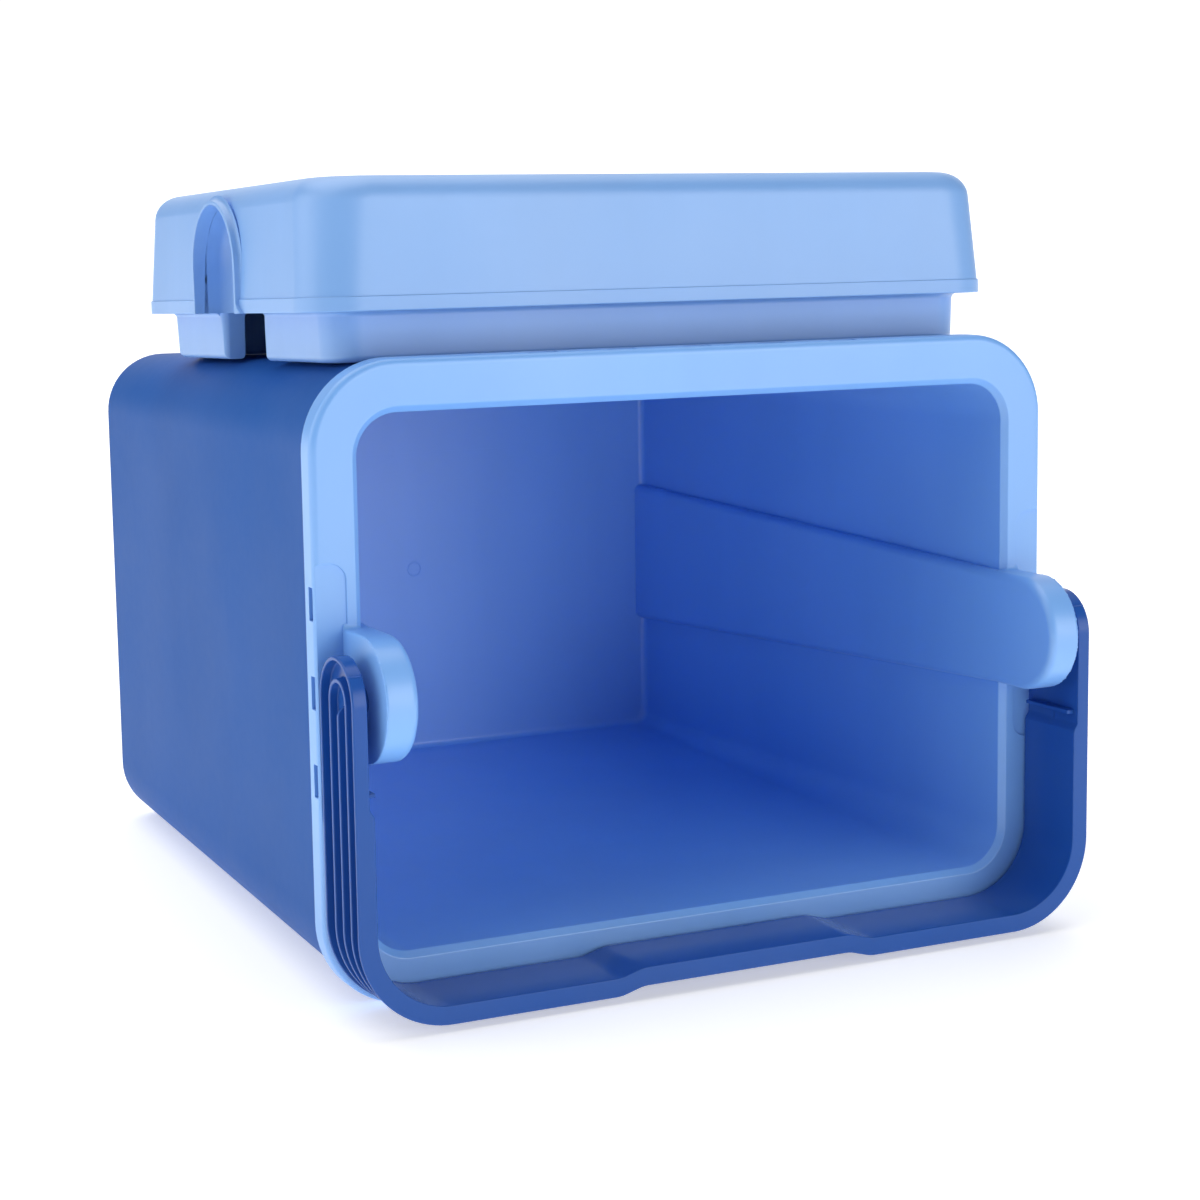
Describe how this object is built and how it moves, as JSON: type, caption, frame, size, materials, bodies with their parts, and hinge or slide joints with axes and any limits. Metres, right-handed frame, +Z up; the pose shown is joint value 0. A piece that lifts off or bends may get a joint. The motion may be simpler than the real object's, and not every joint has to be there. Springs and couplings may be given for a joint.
{
  "type": "cooler chest",
  "caption": "Insulated cooler chest on its long side, cavity open to the front, lid lifted off and laid on top, ribbed bail handle hanging from two pivot lugs.",
  "frame": {"origin": "under the middle of the object's box, on the surface that the chest lies on", "axes": "+Z up, +Y from the opening towards the chest's underside, +X along the chest's long side, to the right when looking into the opening"},
  "size_m": [0.4, 0.4455, 0.3833],
  "materials": {
    "dark_plastic": "satin",
    "pale_plastic": "satin",
    "handle_plastic": "satin",
    "foam": "matte"
  },
  "bodies": {
    "chest": {"outer_shell": "dark_plastic", "liner": "pale_plastic", "foam_front": "foam", "foam_rear": "foam", "foam_left": "foam", "foam_right": "foam", "foam_base": "foam"},
    "handle": {"handle": "handle_plastic"},
    "lid": {"lid_cap": "pale_plastic", "lid_inner": "pale_plastic", "lid_foam": "foam"}
  },
  "joints": [
    {"name": "handle_pivot", "type": "hinge", "parent": "chest", "child": "handle", "pos_m": [0, -0.195, 0.15217], "axis": [-1, 0, 0], "range_deg": [0, 180]},
    {"name": "lid_lift", "type": "slide", "parent": "chest", "child": "lid", "axis": [0, 0, 1], "range_m": [0, 0.3]}
  ]
}
